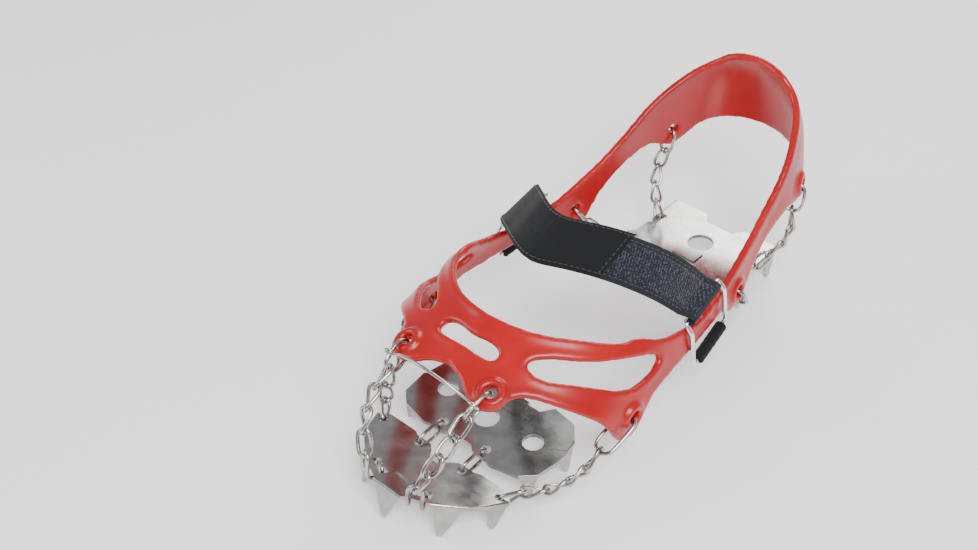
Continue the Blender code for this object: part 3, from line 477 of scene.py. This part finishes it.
@dataclass
class Harness:
    """The moulded harness: toe web with three windows, side rails, heel band and eight eyelet lobes.

    Its outlines are drawn flat: millimetres along the sole edge, and shares of the way across.
    """

    form: ShoeForm
    front_edge: Sequence[Pair] = (
        (62, 0), (61, 0.12), (57, 0.20), (56, 0.28), (58, 0.37), (65, 0.43), (74, 0.41), (81, 0.47),
        (89, 0.62), (96, 0.76), (102, 0.88), (106, 1.02), (112, 1.12), (121, 1.13), (128, 1.05),
        (135, 0.97), (150, 0.96), (180, 0.965), (200, 0.98), (205, 1.045), (218, 1.045), (224, 0.98),
        (240, 0.93), (262, 0.905), (271, 0.93), (279, 0.95), (287, 0.93), (296, 0.89), (310, 0.87),
        (328, 0.87))
    back_edge: Sequence[Pair] = (
        (104, 0), (104, 0.12), (108, 0.28), (121, 0.48), (131, 0.60), (138, 0.63), (149, 0.75),
        (165, 0.83), (176, 0.875), (192, 0.87), (215, 0.86), (234, 0.84), (250, 0.79), (266, 0.70),
        (285, 0.60), (300, 0.52), (310, 0.42), (328, 0.40))
    side_window: Sequence[Pair] = (
        (91, 0.32), (99, 0.35), (113, 0.54), (127, 0.66), (142, 0.77), (144, 0.82), (134, 0.85),
        (119, 0.81), (103, 0.60), (90, 0.43))
    centre_window: Sequence[Pair] = (
        (79, -0.15), (79, 0.15), (83, 0.205), (89, 0.18), (90, 0.10), (88, 0), (90, -0.10), (89, -0.18),
        (83, -0.205))
    eyelets: Sequence[Pair] = ((68, 0.32), (119, 1.0), (211, 0.965), (279, 0.89))
    thickness: float = 3.2 * MM
    bead_rise: float = 0.45 * MM
    bead_width: float = 1.7 * MM
    bead_inset: float = 2.04 * MM
    cut_reach: float = 15 * MM
    slab_from: Pair = (51 * MM, -8 * MM)
    slab_width: float = 126 * MM
    slab_overrun: float = 4 * MM
    cell: float = 1.8 * MM
    seam_snap: float = 0.05 * MM
    boss_radius: float = 6.8 * MM
    boss_height: float = 5.2 * MM
    boss_root: float = 0.2 * MM
    boss_draft: float = 0.5 * MM
    eyelet_radius: float = 2.9 * MM
    sink_width: float = 2.6 * MM
    sink_depth: float = 0.7 * MM
    sink_reach: float = 2 * MM
    drill_depth: float = 8 * MM
    skin: float = 0.85 * MM
    easing: int = 12

    @staticmethod
    def cut_corners(points: Sequence[Pair], closed: bool = True) -> List[Vector]:
        """The outline with each corner cut once."""
        corners = [Vector(p) for p in points]
        cut = [] if closed else [corners[0]]
        for first, second in zip(corners, corners[1:] + corners[:1] if closed else corners[1:]):
            cut += [first.lerp(second, 0.25), first.lerp(second, 0.75)]
        return cut if closed else cut + [corners[-1]]

    def outlines(self) -> Dict[str, List[Vector]]:
        """The half harness's outer edge and its windows, each a closed run of flat points in metres."""
        heel = self.form.length / MM
        outer = self.cut_corners([*self.front_edge, (heel, 0.87)], closed=False)
        outer += self.cut_corners([(heel, 0.40), *reversed(self.back_edge)], closed=False)
        found = {"outer": outer, "side_window": self.cut_corners(self.side_window),
                 "centre_window": self.cut_corners(self.centre_window)}
        scale = Vector((MM, self.form.across_length))
        return {name: [Vector((p.x * scale.x, p.y * scale.y)) for p in run] for name, run in found.items()}

    def slab(self) -> Piece:
        """A flat slab of small cells that covers the half harness."""
        low = Vector(self.slab_from)
        size = Vector((self.form.length + self.slab_overrun - low.x, self.slab_width))
        shape = bmesh.new()
        bmesh.ops.create_grid(shape, x_segments=round(size.x / self.cell),
                              y_segments=round(size.y / self.cell), size=0.5)
        bmesh.ops.scale(shape, vec=(size.x, size.y, 1), verts=shape.verts)
        bmesh.ops.translate(shape, vec=(*(low + size / 2), 0), verts=shape.verts)
        thicken(shape, self.thickness)
        bmesh.ops.recalc_face_normals(shape, faces=shape.faces)
        return new_piece("harness_slab", shape)

    def prism(self, name: str, outline: Sequence[Vector]) -> Piece:
        """A tall closed solid over an outline."""
        shape = bmesh.new()
        shape.faces.new([shape.verts.new((p.x, p.y, -self.cut_reach)) for p in outline])
        thicken(shape, 2 * self.cut_reach)
        bmesh.ops.recalc_face_normals(shape, faces=shape.faces)
        return new_piece(name, shape)

    @staticmethod
    def peg(foot: Vector, axis: Vector, radii: Pair, height: float) -> Piece:
        """A round peg that stands on its foot and tapers between two radii."""
        shape = bmesh.new()
        bmesh.ops.create_cone(shape, cap_ends=True, segments=40, radius1=radii[0], radius2=radii[1],
                              depth=height)
        turn = Vector((0, 0, 1)).rotation_difference(axis).to_matrix().to_4x4()
        shape.transform(Matrix.Translation(foot + axis * height / 2) @ turn)
        return new_piece("peg", shape)

    @staticmethod
    def combine(target: Piece, cutters: Sequence[Cut]) -> bpy.types.Mesh:
        """The target's mesh after each cutter's operation; the target and the cutters are used up."""
        for cutter, operation in cutters:
            modifier = target.modifiers.new("cut", "BOOLEAN")
            modifier.operation, modifier.solver, modifier.object = operation, "EXACT", cutter
        mesh = applied(target)
        for cutter, _ in cutters:
            bpy.data.objects.remove(cutter)
        return mesh

    def rim_distance(self, points: np.ndarray, outlines: Dict[str, List[Vector]]) -> np.ndarray:
        """How far each flat point, one a row, lies from the nearest rim of the closed outlines."""
        nearest = np.full(len(points), 1.0)
        for run in outlines.values():
            for first, second in zip(run, run[1:] + run[:1]):
                start, stretch = np.array(first), np.array(second - first)
                share = np.clip((points - start) @ stretch / max(float(stretch @ stretch), 1e-12), 0, 1)
                gap = np.linalg.norm(points - start - share[:, None] * stretch, axis=1)
                if abs(first.x - self.form.length) > 1e-6 or abs(second.x - self.form.length) > 1e-6:
                    nearest = np.minimum(nearest, gap)
        return nearest

    def lay_on_form(self, mesh: bpy.types.Mesh, outlines: Dict[str, List[Vector]]) -> None:
        """Bends the flat half round the form, with a low bead along its rims, and opens it in the middle."""
        flat = np.array([vertex.co[:] for vertex in mesh.vertices])
        rim = self.rim_distance(flat[:, :2], outlines)
        bead = self.bead_rise * np.exp(-((rim - self.bead_inset) / self.bead_width) ** 2)
        for vertex, rise in zip(mesh.vertices, bead):
            height = vertex.co.z + (rise if vertex.co.z > self.thickness / 2 else 0)
            vertex.co = self.form.lifted(vertex.co.x, vertex.co.y / self.form.across_length, height)
            if abs(vertex.co.x) < self.seam_snap:
                vertex.co.x = 0
        shape = bmesh.new()
        shape.from_mesh(mesh)
        bmesh.ops.remove_doubles(shape, verts=shape.verts, dist=WELD)
        bmesh.ops.recalc_face_normals(shape, faces=shape.faces)
        middle = [face for face in shape.faces if all(vertex.co.x == 0 for vertex in face.verts)]
        bmesh.ops.delete(shape, geom=middle, context="FACES")
        shape.to_mesh(mesh)
        shape.free()

    def bosses_and_holes(self) -> List[Cut]:
        """The raised bosses, their sunk faces and the eyelet holes, with each one's operation."""
        bosses, holes = [], []
        for along, across in self.eyelets:
            foot, out = self.form.place(along * MM, across)
            for side in Side:
                base, axis = side.flip(foot), side.flip(out)
                boss = self.peg(base - axis * self.boss_root, axis,
                                (self.boss_radius, self.boss_radius - self.boss_draft),
                                self.boss_height + self.boss_root)
                sink = self.peg(base + axis * (self.boss_height - self.sink_depth), axis,
                                (self.eyelet_radius, self.eyelet_radius + self.sink_width),
                                self.sink_reach)
                drill = self.peg(base - axis * self.drill_depth, axis, (self.eyelet_radius,) * 2,
                                 2.5 * self.drill_depth)
                bosses.append((boss, "UNION"))
                holes += [(sink, "DIFFERENCE"), (drill, "DIFFERENCE")]
        return bosses + holes

    def build(self) -> Piece:
        """Makes the harness's skin, still without its finish."""
        outlines = self.outlines()
        cuts = [(self.prism(name, run), "INTERSECT" if name == "outer" else "DIFFERENCE")
                for name, run in outlines.items()]
        half = self.combine(self.slab(), cuts)
        self.lay_on_form(half, outlines)
        source = placed("harness_half", half)
        mirror = source.modifiers.new("mirror", "MIRROR")
        mirror.merge_threshold = WELD
        whole = placed("harness_whole", applied(source))
        solid = placed("harness_skin", self.combine(whole, self.bosses_and_holes()))
        remesh = solid.modifiers.new("skin", "REMESH")
        remesh.mode, remesh.voxel_size = "VOXEL", self.skin
        ease = solid.modifiers.new("ease", "SMOOTH")
        ease.factor, ease.iterations = 0.5, self.easing
        made = placed("harness_moulding", applied(solid))
        made.data.materials.clear()
        return made

    def dress(self, finishes: Finishes) -> Piece:
        """Builds the harness and gives it its finish and its place in the frame."""
        made = self.build()
        made.data.materials.append(finishes.elastomer)
        smooth(made)
        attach(made, "harness")
        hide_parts("harness")
        return made


# ---- wire pieces

@dataclass
class WireWork:
    """All bent wire: connectors, curb chains, clips, bridge links, toe bail and buckle frames.

    Each piece follows its frame node, rounded from a six-sided section to a smooth one.
    """

    chain_radius: float = 1.0 * MM
    bail_radius: float = 0.8 * MM
    buckle_radius: float = 1.3 * MM
    fattening: float = 0.08
    rounding: int = 2
    links: Dict[str, int] = field(default_factory=lambda: {"toe": 4, "side": 5, "heel": 4, "arch": 3})

    def riders(self) -> Dict[str, str]:
        """The body that each wire node rides on."""
        found = {"toe_bail": "toe_bail"}
        for side in Side:
            for chain, count in self.links.items():
                found[f"{chain}_connector_{side.label}"] = f"{chain}_connectors"
                for number in range(1, count + 1):
                    found[f"{chain}_link_{number}_{side.label}"] = f"{chain}_links_{number}"
            found[f"bridge_link_{side.label}"] = "bridge_links"
            found[f"toe_clip_{side.label}"] = "toe_clips"
            found[f"buckle_frame_{side.label}"] = f"buckle_{side.label}"
        return found

    def build(self, node: str, radius: float, finish: Material) -> Piece:
        """Makes the wire of that radius that follows a frame node."""
        shape = node_shape(node)
        bmesh.ops.join_triangles(shape, faces=shape.faces, angle_face_threshold=math.radians(50),
                                 angle_shape_threshold=math.radians(180))
        bmesh.ops.recalc_face_normals(shape, faces=shape.faces)
        shape.normal_update()
        moves = [(vertex, vertex.normal * radius * self.fattening) for vertex in shape.verts]
        for vertex, move in moves:
            vertex.co += move
        made = smooth(new_piece(f"wire_{node}", shape, finish))
        rounding = made.modifiers.new("rounding", "SUBSURF")
        rounding.levels = rounding.render_levels = self.rounding
        return made

    def dress(self, finishes: Finishes) -> List[Piece]:
        """Builds every wire and gives it its place in the frame."""
        made = []
        for node, body in self.riders().items():
            buckle = node.startswith("buckle")
            radius = self.buckle_radius if buckle else self.chain_radius
            if node == "toe_bail":
                radius = self.bail_radius
            wire = self.build(node, radius, finishes.buckle if buckle else finishes.chain)
            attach(wire, body)
            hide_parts(node)
            made.append(wire)
        return made


# ---- spike plates

@dataclass
class SpikePlate:
    """One stamped plate with spikes bent down from its edge."""

    node: str
    tilt: float = 0.0
    bend_radius: float = 1.1 * MM
    edge_radius: float = 0.32 * MM
    shortest_bend: float = 6 * MM
    sliver: float = 0.1 * MM

    def bends(self, shape: Shape) -> List[bmesh.types.BMEdge]:
        """The edges along the top where a spike turns down from the plate."""
        up = Matrix.Rotation(-self.tilt, 3, "X") @ Vector((0, 0, 1))
        found = []
        for edge in shape.edges:
            if len(edge.link_faces) != 2 or edge.calc_length() < self.shortest_bend:
                continue
            top, wall = sorted(edge.link_faces, key=lambda face: -face.normal.dot(up))
            heights = [vertex.co.dot(up) for vertex in wall.verts]
            turned = top.normal.dot(up) > 0.98 and abs(wall.normal.dot(up)) < 0.1
            if turned and max(heights) - min(heights) > self.shortest_bend:
                found.append(edge)
        return found

    def build(self, finish: Material) -> Piece:
        """Makes the plate with rounded bends and eased edges."""
        shape = node_shape(self.node)
        bmesh.ops.remove_doubles(shape, verts=shape.verts, dist=self.sliver)
        bmesh.ops.dissolve_limit(shape, angle_limit=math.radians(1), verts=shape.verts, edges=shape.edges)
        shape.normal_update()
        bmesh.ops.bevel(shape, geom=self.bends(shape), offset=self.bend_radius, segments=4, profile=0.5,
                        affect="EDGES", material=-1, clamp_overlap=False)
        hard = [edge for edge in shape.edges if edge.calc_face_angle(0) > math.radians(40)]
        bmesh.ops.bevel(shape, geom=hard, offset=self.edge_radius, segments=2, profile=0.5,
                        affect="EDGES", material=-1, clamp_overlap=True)
        made = smooth(new_piece(f"stamped_{self.node}", shape, finish), 60)
        flatten = made.modifiers.new("flat_faces", "WEIGHTED_NORMAL")
        flatten.mode, flatten.weight, flatten.keep_sharp = "FACE_AREA", 100, True
        return made

    def dress(self, finishes: Finishes) -> Piece:
        """Builds the plate and gives it its place in the frame."""
        made = self.build(finishes.plate)
        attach(made, self.node)
        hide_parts(self.node)
        return made


# ---- instep strap

@dataclass
class InstepStrap:
    """The two-part instep strap: a hook part over a loop part, each folded round a buckle's upper bar."""

    form: ShoeForm
    ridge_at: float = 150
    buckle_at: float = 179
    buckle_across: float = 0.79
    half_width: float = 12.2
    thickness: float = 1.8 * MM
    loop_run: Pair = (-0.12, 0.800)
    hook_run: Pair = (-0.800, 0.33)
    loop_seam: Pair = (0.02, 0.77)
    hook_seam: Pair = (-0.77, 0.322)
    lap_run: Pair = (-0.32, -0.14)
    lap_gap: float = 0.5 * MM
    rest_height: float = 0.6 * MM
    climb: float = 4.6 * MM
    climb_run: Pair = (0.728, 0.775)
    border: float = 2.9
    pile_rise: float = 0.45 * MM
    bar_lift: float = 3.4 * MM
    fold_radii: Pair = (1.75 * MM, 3.5 * MM)
    fold_turn: float = math.radians(150)
    edge_from: float = 0.93
    edge_thinning: float = 0.4
    stitch: Tuple[float, float, float] = (1.9 * MM, 0.55 * MM, 0.42 * MM)
    stitch_pitch: float = 2.4
    softness: float = 0.09
    steps: int = 110
    ribs_across: int = 14

    def along(self, across: float) -> float:
        """How far along the sole edge the strap's middle lies, in millimetres."""
        share = min(abs(across) / self.buckle_across, 1)
        return self.ridge_at + (self.buckle_at - self.ridge_at) * share**1.4

    def rise(self, across: float) -> float:
        """The strap's height over the form: it rises over the buckle's bar at its end."""
        return self.rest_height + self.climb * smooth_step(abs(across), *self.climb_run)

    def pile_height(self, across: float) -> float:
        """The pile field's height over the form, a little proud of its tape."""
        return self.rise(across) + self.pile_rise

    def over_loop(self, across: float) -> float:
        """The hook part's height over the form, on top of the loop part where it lies on it."""
        return self.rise(across) + (self.thickness + self.lap_gap) * smooth_step(across, *self.lap_run)

    def spot(self, across: float, aside: float, lift: float) -> Vector:
        """A point that far across, aside in millimetres and over the form in metres.

        It is averaged along the strap, so that the strap rounds the ridge as a stiff tape does.
        """
        reach = self.softness * smooth_step(0.7 - abs(across), 0, 0.3)
        found = Vector()
        for step, weight in ((-1, 1), (-0.5, 2), (0, 3), (0.5, 2), (1, 1)):
            near = across + reach * step
            found += weight * self.form.lifted((self.along(near) + aside) * MM, near, lift)
        return found / 9

    def band(self, name: str, run: Pair, half_width: float, height: Height, finish: Material) -> Piece:
        """A closed woven band with softly rounded edges and a UV map in millimetres.

        Args:
            name: The piece's name.
            run: Where it starts and ends, as shares of the way across.
            half_width: Half its width, in millimetres.
            height: Its underside's height over the form at a share.
            finish: Its material.
        """
        shape = bmesh.new()
        bmesh.ops.create_grid(shape, x_segments=self.steps, y_segments=self.ribs_across, size=0.5)
        chart = shape.loops.layers.uv.new("UVMap")
        length = self.run_length(run, height)
        for face in shape.faces:
            for loop in face.loops:
                loop[chart].uv = (loop.vert.co.y * 2 * half_width, loop.vert.co.x * length / MM)
        thicken(shape, 1)
        for vertex in shape.verts:
            across = run[0] + (run[1] - run[0]) * (vertex.co.x + 0.5)
            aside = vertex.co.y * 2
            past = max(0.0, (abs(aside) - self.edge_from) / (1 - self.edge_from))
            thin = self.edge_thinning * self.thickness * past**2
            level = thin if vertex.co.z < 0.5 else self.thickness - thin
            vertex.co = self.spot(across, aside * half_width, height(across) + level)
        bmesh.ops.recalc_face_normals(shape, faces=shape.faces)
        return smooth(new_piece(name, shape, finish), 60)

    def run_length(self, run: Pair, height: Height) -> float:
        """The length of a part along its middle."""
        shares = np.linspace(*run, 200)
        line = [self.spot(share, 0, height(share)) for share in shares]
        return sum((b - a).length for a, b in zip(line, line[1:]))

    def stitches(self, name: str, places: Sequence[Stitch], finish: Material) -> Piece:
        """One piece of small thread stitches."""
        shape = bmesh.new()
        for middle, direction, out in places:
            ball = bmesh.ops.create_icosphere(shape, subdivisions=2, radius=0.5)
            along = (direction - out * direction.dot(out)).normalized()
            frame_of = Matrix((along, out.cross(along), out)).transposed().to_4x4()
            size = Matrix.Diagonal((*self.stitch, 1))
            bmesh.ops.transform(shape, matrix=Matrix.Translation(middle) @ frame_of @ size,
                                verts=ball["verts"])
        return smooth(new_piece(name, shape, finish))

    def rows(self, run: Pair, aside: float, height: Height) -> List[Stitch]:
        """Two rows of stitches along a part, that far aside from its middle."""
        count = int(self.run_length(run, height) / (self.stitch_pitch * MM))
        return [self.stitch_place(share, apart, (0.004, 0), height)
                for apart in (-aside, aside) for share in np.linspace(*run, count)]

    def stitch_place(self, share: float, aside: float, step: Pair, height: Height) -> Stitch:
        """A stitch on a part's face, pointing along a step across the instep and aside."""
        here = self.spot(share, aside, height(share) + self.thickness)
        near = share + step[0]
        ahead = self.spot(near, aside + step[1], height(near) + self.thickness)
        out = self.form.place((self.along(share) + aside) * MM, share)[1]
        return here, ahead - here, out

    def cross_row(self, share: float, half_width: float, height: Height) -> List[Stitch]:
        """Stitches across a part, at a share of the way across the instep."""
        count = int(2 * half_width / self.stitch_pitch) + 1
        return [self.stitch_place(share, aside, (0, 0.5), height)
                for aside in np.linspace(-half_width, half_width, count)]

    def fold(self, name: str, side: Side, half_width: float, finish: Material) -> Piece:
        """The strap's end, turned down round the buckle's upper bar and back under itself."""
        bar = self.form.lifted(self.buckle_at * MM, self.buckle_across, self.bar_lift)
        ends = [self.form.point((self.buckle_at + step) * MM, 0.812) for step in (-3, 3)]
        axis = (ends[1] - ends[0]).normalized()
        out = self.form.place(self.buckle_at * MM, self.buckle_across)[1]
        down = out.cross(axis).normalized()
        if down.z > 0:
            down.negate()
        out = (out - axis * out.dot(axis)).normalized()
        inner, outer = self.fold_radii
        shape = bmesh.new()
        corners = [shape.verts.new(bar + out * radius + axis * aside)
                   for radius, aside in ((inner, -half_width * MM), (outer, -half_width * MM),
                                         (outer, half_width * MM), (inner, half_width * MM))]
        start = shape.faces.new(corners)
        turn = math.copysign(self.fold_turn, out.cross(down).dot(axis))
        bmesh.ops.spin(shape, geom=[start, *start.edges, *start.verts], cent=bar, axis=axis, angle=turn,
                       steps=12, use_merge=False)
        for vertex in shape.verts:
            vertex.co = side.flip(vertex.co)
        bmesh.ops.recalc_face_normals(shape, faces=shape.faces)
        chart = shape.loops.layers.uv.new("UVMap")
        for face in shape.faces:
            for loop in face.loops:
                spot = side.flip(loop.vert.co) - bar
                angle = math.atan2(spot.dot(down), spot.dot(out))
                loop[chart].uv = (spot.dot(axis) / MM, angle * outer / MM)
        return smooth(new_piece(name, shape, finish), 50)

    def build_loop(self, finishes: Finishes) -> List[Piece]:
        """The loop part: a pile field between two smooth borders, stitched along both."""
        band = self.band("strap_loop_tape", self.loop_run, self.half_width, self.rise, finishes.selvage)
        field_width = self.half_width - self.border
        pile = self.band("strap_loop_pile", (-0.11, 0.770), field_width, self.pile_height, finishes.pile)
        places = self.rows(self.loop_seam, field_width + 0.5, self.rise)
        places += self.cross_row(0.722, field_width - 0.8, self.pile_height)
        stitching = self.stitches("strap_loop_stitches", places, finishes.grey_thread)
        fold = self.fold("strap_loop_fold", Side.LEFT, self.half_width, finishes.selvage)
        for piece in (band, pile, stitching, fold):
            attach(piece, "harness")
        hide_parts("strap_loop")
        length = self.run_length(self.loop_run, self.rise)
        return [band, pile, stitching, fold]

    def build_hook(self, finishes: Finishes) -> List[Piece]:
        """The hook part: a smooth woven tape that lies over the loop part."""
        half_width = self.half_width + 0.5
        band = self.band("strap_hook_tape", self.hook_run, half_width, self.over_loop, finishes.webbing)
        places = self.rows(self.hook_seam, half_width - 1.5, self.over_loop)
        for share in (0.312, -0.722, -0.64):
            places += self.cross_row(share, half_width - 2.2, self.over_loop)
        stitching = self.stitches("strap_hook_stitches", places, finishes.black_thread)
        fold = self.fold("strap_hook_fold", Side.RIGHT, half_width, finishes.webbing)
        for piece in (band, stitching, fold):
            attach(piece, "strap_hook")
        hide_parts("strap_hook")
        length = self.run_length(self.hook_run, self.over_loop)
        return [band, stitching, fold]


# ---- webbing rolls

@dataclass
class WebbingRoll:
    """A length of tape wound into a tight sleeve round a buckle's lower bar."""

    side: Side
    axis: Sequence[float] = (-0.128, 0.977, 0.172)
    inner: float = 1.5 * MM
    outer: float = 2.9 * MM
    half_length: float = 11.4 * MM
    shoulder: float = 0.7 * MM
    groove_depth: float = 0.12 * MM
    grooves: int = 6
    steps: int = 30
    turns: int = 48

    def profile(self) -> List[Pair]:
        """The sleeve's section: radius and place along the bar, with rounded shoulders and low grooves."""
        ease = self.shoulder
        ends = [(self.inner, self.half_length), (self.outer - ease, self.half_length),
                (self.outer - 0.3 * ease, self.half_length - 0.3 * ease),
                (self.outer, self.half_length - ease)]
        middle = []
        for step in range(1, self.steps):
            share = step / self.steps
            groove = self.groove_depth * (1 - math.cos(math.tau * self.grooves * share)) / 2
            middle.append((self.outer - groove, (self.half_length - ease) * (1 - 2 * share)))
        return ends + middle + [(radius, -place) for radius, place in reversed(ends)]

    def build(self, finish: Material) -> Piece:
        """Makes the sleeve."""
        low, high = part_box(f"webbing_roll_{self.side.label}")
        centre = (Vector(low) + Vector(high)) / 2
        shape = bmesh.new()
        corners = [shape.verts.new((radius, 0, place)) for radius, place in self.profile()]
        edges = [shape.edges.new(pair) for pair in zip(corners, corners[1:] + corners[:1])]
        bmesh.ops.spin(shape, geom=corners + edges, cent=(0, 0, 0), axis=(0, 0, 1), angle=math.tau,
                       steps=self.turns, use_merge=True)
        bmesh.ops.remove_doubles(shape, verts=shape.verts, dist=0.005 * MM)
        bmesh.ops.recalc_face_normals(shape, faces=shape.faces)
        chart = shape.loops.layers.uv.new("UVMap")
        for face in shape.faces:
            middle = math.atan2(face.calc_center_median().y, face.calc_center_median().x)
            for loop in face.loops:
                angle = math.atan2(loop.vert.co.y, loop.vert.co.x)
                angle += math.tau * round((middle - angle) / math.tau)
                loop[chart].uv = (loop.vert.co.z / MM, angle * self.outer / MM)
        axis = self.side.flip(Vector(self.axis))
        turn = Vector((0, 0, 1)).rotation_difference(axis).to_matrix().to_4x4()
        shape.transform(Matrix.Translation(centre) @ turn)
        return smooth(new_piece(f"roll_{self.side.label}", shape, finish), 50)

    def dress(self, finishes: Finishes) -> Piece:
        """Builds the sleeve and gives it its place in the frame."""
        made = self.build(finishes.webbing)
        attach(made, f"buckle_{self.side.label}")
        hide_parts(f"webbing_roll_{self.side.label}")
        return made


# ---- studio

@dataclass
class Studio:
    """A plain pale floor, soft lights and the camera."""

    target: Sequence[float] = (0, -11.36 * MM, 0)
    azimuth: float = 39.6
    elevation: float = 43.6
    distance: float = 0.581
    roll: float = 0.59
    lens: float = 43.9
    shift: Pair = (-0.091, 0.091)
    light_size: float = 0.5

    def floor(self) -> None:
        """A wide pale floor under the spike tips."""
        shape = bmesh.new()
        bmesh.ops.create_grid(shape, x_segments=1, y_segments=1, size=3)
        bmesh.ops.translate(shape, vec=(0, 0, -0.1 * MM), verts=shape.verts)
        recipe = Recipe("floor_paint")
        clouds = recipe.noise(recipe.place("Object"), 3, 2)
        recipe.feed("Base Color", recipe.ramp(clouds, [(0.3, (0.86,) * 3), (0.7, (0.88,) * 3)]))
        recipe.fix(Roughness=0.7, Emission_Strength=0.3, Emission_Color=(1, 1, 1, 1))
        new_piece("floor", shape, recipe.material)

    def light(self, name: str, place: Sequence[float], power: float) -> None:
        """A square soft light of a power in watts, aimed at the middle of the object."""
        data = bpy.data.lights.new(name, "AREA")
        data.size, data.energy = self.light_size, power
        lamp = bpy.data.objects.new(name, data)
        lamp.location = place
        lamp.rotation_mode = "QUATERNION"
        lamp.rotation_quaternion = (Vector((0, 0, 0.05)) - Vector(place)).to_track_quat("-Z", "Y")
        bpy.context.scene.collection.objects.link(lamp)

    def camera(self) -> None:
        """The camera, at three quarters from the front left and well above."""
        turn, up = math.radians(self.azimuth), math.radians(self.elevation)
        back = Vector((math.sin(turn) * math.cos(up), -math.cos(turn) * math.cos(up), math.sin(up)))
        data = bpy.data.cameras.new("camera")
        data.lens, data.clip_start = self.lens, 0.01
        data.shift_x, data.shift_y = self.shift
        made = bpy.data.objects.new("camera", data)
        made.location = Vector(self.target) + back * self.distance
        facing = (-back).to_track_quat("-Z", "Y").to_matrix().to_4x4()
        made.rotation_euler = (facing @ Matrix.Rotation(math.radians(self.roll), 4, "Z")).to_euler()
        bpy.context.scene.collection.objects.link(made)
        bpy.context.scene.camera = made

    def build(self) -> None:
        """Sets the whole studio up."""
        self.floor()
        world = bpy.data.worlds.new("studio_air")
        world.use_nodes = True
        air = world.node_tree.nodes["Background"]
        air.inputs["Color"].default_value = (0.95, 0.97, 1.0, 1)
        air.inputs["Strength"].default_value = 0.55
        bpy.context.scene.world = world
        self.light("key_light", (0.55, -0.35, 0.85), 13)
        self.light("fill_light", (-0.75, -0.55, 0.55), 4)
        self.light("back_light", (-0.25, 0.8, 0.7), 6)
        self.camera()


# ---- assembly

def report(pieces: Sequence[Piece]) -> None:
    """Logs each piece with its face count."""
    for piece in pieces:
        LOG.info("%s: %d faces", piece.name, len(piece.data.polygons))


def main() -> None:
    """Builds every sub-assembly in order."""
    logging.basicConfig(level=logging.INFO, format="%(name)s %(message)s")
    finishes = Finishes()
    form = ShoeForm()
    report([Harness(form).dress(finishes)])
    report(WireWork().dress(finishes))
    plates = (SpikePlate("toe_plate", math.radians(13.6)), SpikePlate("ball_plate"), SpikePlate("heel_plate"))
    report([plate.dress(finishes) for plate in plates])
    report([WebbingRoll(side).dress(finishes) for side in Side])
    strap = InstepStrap(form)
    report(strap.build_loop(finishes) + strap.build_hook(finishes))
    Studio().build()


if __name__ == "__main__":
    main()
